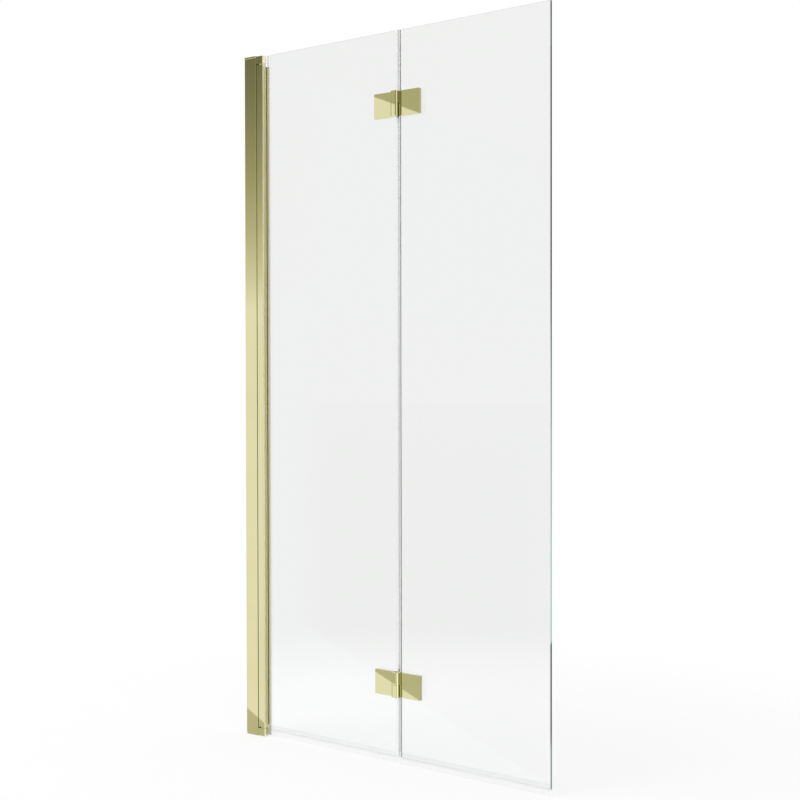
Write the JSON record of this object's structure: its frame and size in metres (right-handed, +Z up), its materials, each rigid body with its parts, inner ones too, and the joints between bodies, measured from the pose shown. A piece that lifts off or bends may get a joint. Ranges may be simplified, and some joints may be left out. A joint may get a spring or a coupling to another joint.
{
  "type": "folding bath screen",
  "caption": "Frameless folding bath screen: clear glass panes on lift-off hinges, swung from a slim polished gold wall profile, with clear drip seals along the bottom.",
  "frame": {"origin": "on the wall face of the wall channel, in the middle plane of the glass, half way up the profile", "axes": "+X from the wall to the free glass edge, -Y towards the side the screen folds to, +Z up"},
  "size_m": [0.8, 0.0288, 1.5],
  "materials": {
    "polished_gold": "polished light gold plating",
    "plain_aluminium": "mill finish",
    "clear_glass": "clear toughened, polished edges",
    "clear_seal": "clear flexible, glossy",
    "grey_rubber": "matt",
    "black_plastic": "satin moulded",
    "white_plastic": "satin moulded",
    "bright_steel": "bright turned"
  },
  "bodies": {
    "wall_fixing": {"wall_channel": "plain_aluminium"},
    "adjusting_frame": {"adjusting_profile": "polished_gold", "top_end_cap": "polished_gold", "bottom_end_cap": "polished_gold", "pivot_bushes": "black_plastic", "end_cap_screws": "polished_gold", "lock_screws": "polished_gold", "lock_nuts": "bright_steel"},
    "inner_panel": {"swivel_profile": "polished_gold", "pivot_pins": "bright_steel", "glazing_gasket": "grey_rubber", "inner_glass": "clear_glass", "inner_bottom_seal": "clear_seal", "seam_seals": "clear_seal", "hinge_pins": "bright_steel", "hinge_washers": "black_plastic", "upper_hinge_inner_leaf": "polished_gold", "lower_hinge_inner_leaf": "polished_gold", "upper_hinge_inner_back_plate": "polished_gold", "lower_hinge_inner_back_plate": "polished_gold", "inner_hinge_pads": "grey_rubber", "inner_hinge_sleeves": "white_plastic", "inner_hinge_screws": "polished_gold"},
    "outer_panel": {"outer_glass": "clear_glass", "outer_bottom_seal": "clear_seal", "upper_hinge_outer_leaf": "polished_gold", "lower_hinge_outer_leaf": "polished_gold", "upper_hinge_outer_back_plate": "polished_gold", "lower_hinge_outer_back_plate": "polished_gold", "outer_hinge_pads": "grey_rubber", "outer_hinge_sleeves": "white_plastic", "outer_hinge_screws": "polished_gold"}
  },
  "joints": [
    {"name": "wall_adjustment", "type": "slide", "parent": "wall_fixing", "child": "adjusting_frame", "axis": [1, 0, 0], "range_m": [0, 0.015]},
    {"name": "wall_pivot", "type": "hinge", "parent": "adjusting_frame", "child": "inner_panel", "pos_m": [0.047, -0.009, 0], "axis": [0, 0, 1], "range_deg": [-90, 60]},
    {"name": "panel_fold", "type": "hinge", "parent": "inner_panel", "child": "outer_panel", "pos_m": [0.4325, -0.0155, 0], "axis": [0, 0, -1], "range_deg": [0, 180]}
  ]
}
